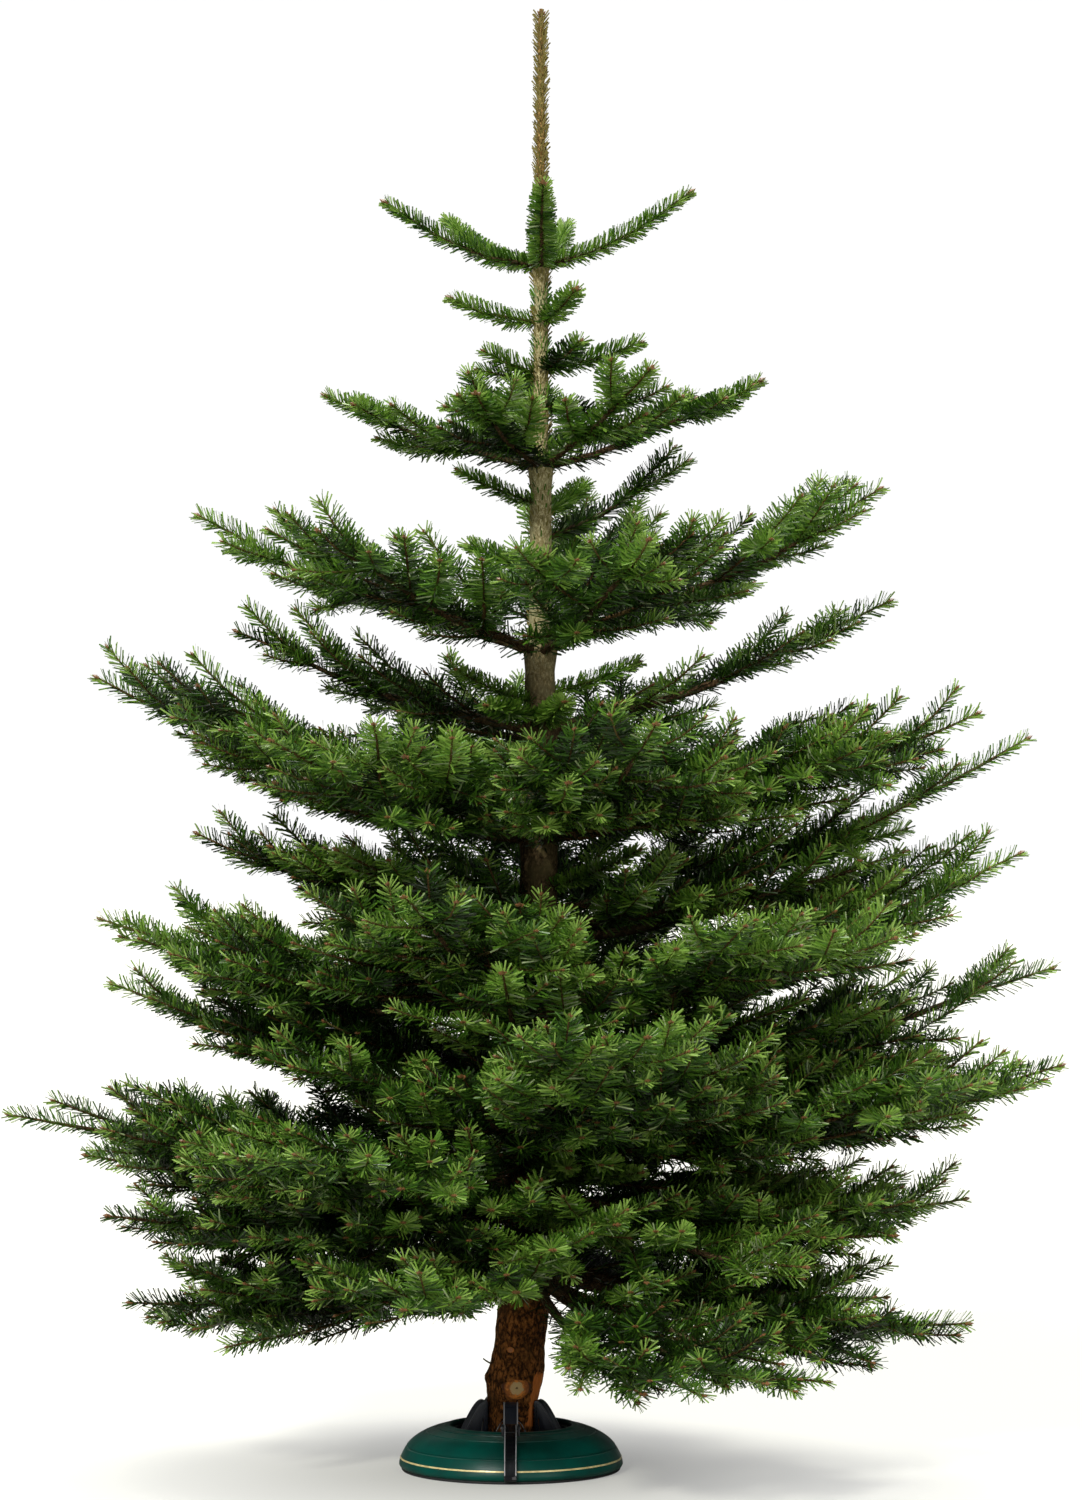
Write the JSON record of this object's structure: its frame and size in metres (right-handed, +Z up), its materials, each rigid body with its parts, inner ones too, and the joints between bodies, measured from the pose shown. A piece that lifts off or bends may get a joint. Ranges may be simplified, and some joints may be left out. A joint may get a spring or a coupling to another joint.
{
  "type": "cut christmas tree in a water stand",
  "caption": "Cut fir with a straight trunk, whorls of upswept boughs and flat sprays of needles, standing in a round domed water stand with clamping claws and a foot pedal.",
  "frame": {"origin": "The middle of the flat underside of the stand, at floor level.", "axes": "+Z is up the trunk, the long way of the tree. -Y is the front, where the foot pedal is. +X is to the right as seen from the front."},
  "size_m": [1.7076, 1.3995, 2.338],
  "materials": {
    "bark": "scaly grey-brown bark on the trunk and boughs",
    "needles": "glossy dark green needles in flat sprays, fresher at the tips",
    "dome": "dark green satin plastic with a thin gold line",
    "claws": "black satin plastic"
  },
  "bodies": {
    "tree": {"bough_tier3_back": "bark", "bough_tier3_front": "bark", "bough_tier3_front_left": "bark", "bough_tier3_left": "bark", "bough_tier3_right": "bark", "foliage_link1_front_right": "needles", "foliage_link1_left": "needles", "foliage_link2_right": "needles", "foliage_link3_left": "needles", "foliage_link3_right": "needles", "foliage_link4_left": "needles", "foliage_link4_right": "needles", "foliage_link5_left": "needles", "foliage_link5_right": "needles", "foliage_link6_left": "needles", "foliage_link6_right": "needles", "foliage_tier1_back": "needles", "foliage_tier1_back_left": "needles", "foliage_tier1_front": "needles", "foliage_tier1_left": "needles", "foliage_tier1_right": "needles", "foliage_tier2_back": "needles", "foliage_tier2_front_left": "needles", "foliage_tier2_front_right": "needles", "foliage_tier2_left": "needles", "foliage_tier2_right": "needles", "foliage_tier3_back": "needles", "foliage_tier3_front": "needles", "foliage_tier3_front_left": "needles", "foliage_tier3_left": "needles", "foliage_tier3_right": "needles", "foliage_tier4_back": "needles", "foliage_tier4_front": "needles", "foliage_tier4_front_left": "needles", "foliage_tier4_left": "needles", "foliage_tier4_right": "needles", "foliage_tier5_back": "needles", "foliage_tier5_front": "needles", "foliage_tier5_front_right": "needles", "foliage_tier5_left": "needles", "foliage_tier5_right": "needles", "foliage_tier6_back": "needles", "foliage_tier6_front": "needles", "foliage_tier6_front_left": "needles", "foliage_tier6_left": "needles", "foliage_tier6_right": "needles", "foliage_tier7_back": "needles", "foliage_tier7_front": "needles", "foliage_tier7_front_right": "needles", "foliage_tier7_left": "needles", "foliage_tier7_right": "needles", "stand_bowl": "dome", "stand_claw_ring": "claws", "trunk": "bark"},
    "claw_1": {"stand_claw_1": "claws"},
    "claw_2": {"stand_claw_2": "claws"},
    "claw_3": {"stand_claw_3": "claws"},
    "claw_4": {"stand_claw_4": "claws"},
    "claw_5": {"stand_claw_5": "claws"},
    "pedal": {"stand_pedal": "claws"}
  },
  "joints": [
    {"name": "claw_1_pivot", "type": "hinge", "parent": "tree", "child": "claw_1", "pos_m": [0, -0.079, 0.05], "axis": [1, 0, 0], "range_deg": [0, 24]},
    {"name": "claw_2_pivot", "type": "hinge", "parent": "tree", "child": "claw_2", "pos_m": [0.07513, -0.02441, 0.05], "axis": [0.309, 0.9511, 0], "range_deg": [0, 24]},
    {"name": "claw_3_pivot", "type": "hinge", "parent": "tree", "child": "claw_3", "pos_m": [0.04643, 0.06391, 0.05], "axis": [-0.809, 0.5878, 0], "range_deg": [0, 24]},
    {"name": "claw_4_pivot", "type": "hinge", "parent": "tree", "child": "claw_4", "pos_m": [-0.04643, 0.06391, 0.05], "axis": [-0.809, -0.5878, 0], "range_deg": [0, 24]},
    {"name": "claw_5_pivot", "type": "hinge", "parent": "tree", "child": "claw_5", "pos_m": [-0.07513, -0.02441, 0.05], "axis": [0.309, -0.9511, 0], "range_deg": [0, 24]},
    {"name": "pedal_pivot", "type": "hinge", "parent": "tree", "child": "pedal", "pos_m": [0, -0.109, 0.08], "axis": [-1, 0, 0], "range_deg": [0, 55]}
  ],
  "couplings": [
    {"joint": "claw_2_pivot", "follows": "claw_1_pivot", "ratio": 1},
    {"joint": "claw_3_pivot", "follows": "claw_1_pivot", "ratio": 1},
    {"joint": "claw_4_pivot", "follows": "claw_1_pivot", "ratio": 1},
    {"joint": "claw_5_pivot", "follows": "claw_1_pivot", "ratio": 1}
  ]
}
